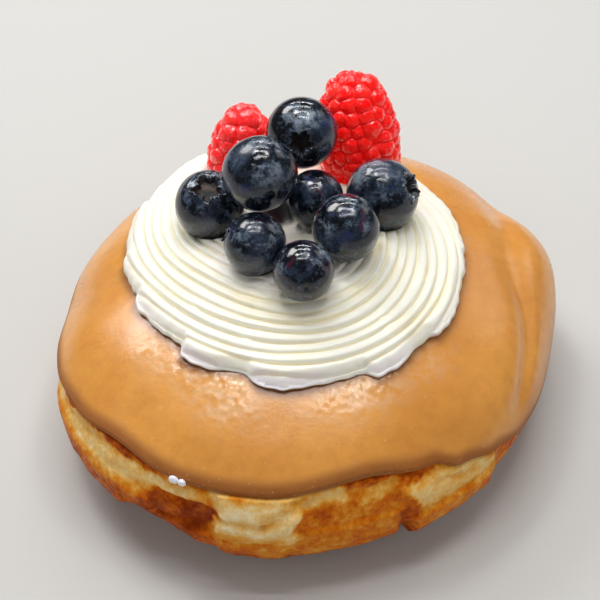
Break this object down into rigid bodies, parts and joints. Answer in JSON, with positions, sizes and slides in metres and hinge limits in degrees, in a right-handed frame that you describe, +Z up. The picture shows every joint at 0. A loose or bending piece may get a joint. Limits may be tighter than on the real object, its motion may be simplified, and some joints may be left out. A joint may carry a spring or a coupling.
{
  "type": "filled doughnut",
  "caption": "Round yeast doughnut with caramel icing, a piped swirl of vanilla cream, blueberries and raspberries.",
  "frame": {"origin": "middle of the bounding box, on the flat underside that rests on the table", "axes": "+Z up from the table, -Y towards the front where the bare dough shows most"},
  "size_m": [0.1086, 0.1138, 0.0657],
  "materials": {
    "fried_dough": "matt fried crust",
    "caramel_icing": "semi-gloss icing",
    "cream": "soft satin cream",
    "blueberry": "wet gloss skin",
    "raspberry": "wet gloss skin"
  },
  "bodies": {
    "root": {"dough": "fried_dough", "icing": "caramel_icing", "cream": "cream", "blueberry_1": "blueberry", "blueberry_2": "blueberry", "blueberry_3": "blueberry", "blueberry_4": "blueberry", "blueberry_5": "blueberry", "blueberry_6": "blueberry", "blueberry_7": "blueberry", "blueberry_8": "blueberry", "raspberry_1": "raspberry", "raspberry_2": "raspberry"}
  },
  "joints": []
}
